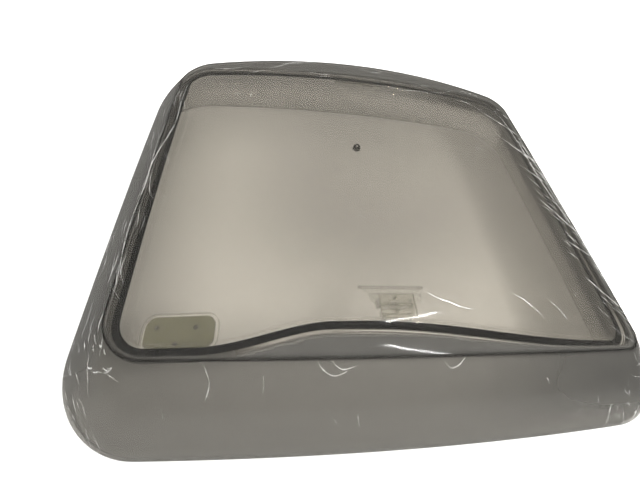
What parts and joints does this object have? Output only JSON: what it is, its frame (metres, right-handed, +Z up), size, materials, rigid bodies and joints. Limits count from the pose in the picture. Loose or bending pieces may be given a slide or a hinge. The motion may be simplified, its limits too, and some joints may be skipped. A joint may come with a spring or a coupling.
{
  "type": "roof vent cover",
  "caption": "Smoked double-glazed dome for a roof hatch, with a hung catch at the front, a hinge leaf at the rear, a corner pad and a breather valve.",
  "frame": {"origin": "centre of the bounding box in plan, on the plane the skirt stands on", "axes": "+X to the right seen from the front catch side, +Y to the hinge side at the rear, +Z up"},
  "size_m": [0.828, 0.714, 0.151],
  "materials": {
    "outer_dome": "smoked clear acrylic, polished",
    "inner_pane": "smoked clear acrylic, polished",
    "bonding_seam": "black adhesive bead",
    "mounting_tape": "clear adhesive tape",
    "catch_plate": "clear moulded plastic",
    "catch_base": "clear moulded plastic",
    "catch_lever": "clear moulded plastic",
    "hinge_plate": "clear moulded plastic",
    "hinge_leaf": "clear moulded plastic",
    "hinge_pins": "bright steel",
    "catch_spring": "spring steel",
    "screws": "plated steel",
    "corner_pad": "olive foam strip",
    "corner_tray": "clear moulded plastic",
    "studs": "dark rubber",
    "valve_plug": "dark rubber",
    "valve_filter": "pale sintered felt"
  },
  "bodies": {
    "dome": {"outer_dome": "outer_dome", "inner_pane": "inner_pane", "bonding_seam": "bonding_seam", "front_catch_pad": "mounting_tape", "front_catch_plate": "catch_plate", "front_catch_base": "catch_base", "front_catch_pin": "hinge_pins", "front_catch_spring": "catch_spring", "front_catch_screw_front": "screws", "front_catch_screw_rear": "screws", "rear_hinge_pad": "mounting_tape", "rear_hinge_plate": "hinge_plate", "rear_hinge_pin": "hinge_pins", "corner_pad": "corner_pad", "corner_pad_tray": "corner_tray", "corner_pad_stud_left": "studs", "corner_pad_stud_right": "studs", "corner_pad_stud_front": "studs", "valve_plug": "valve_plug", "valve_filter": "valve_filter"},
    "catch_lever": {"front_catch_lever": "catch_lever"},
    "hinge_leaf": {"rear_hinge_leaf": "hinge_leaf"}
  },
  "joints": [
    {"name": "catch_lever_hinge", "type": "hinge", "parent": "dome", "child": "catch_lever", "pos_m": [0, -0.194, 0.1155], "axis": [-1, 0, 0], "range_deg": [0, 50], "stiffness_Nm_per_rad": 0.05, "springref_deg": -17.19},
    {"name": "hinge_leaf_hinge", "type": "hinge", "parent": "dome", "child": "hinge_leaf", "pos_m": [0, 0.264, 0.131], "axis": [1, 0, 0], "range_deg": [0, 60]}
  ]
}
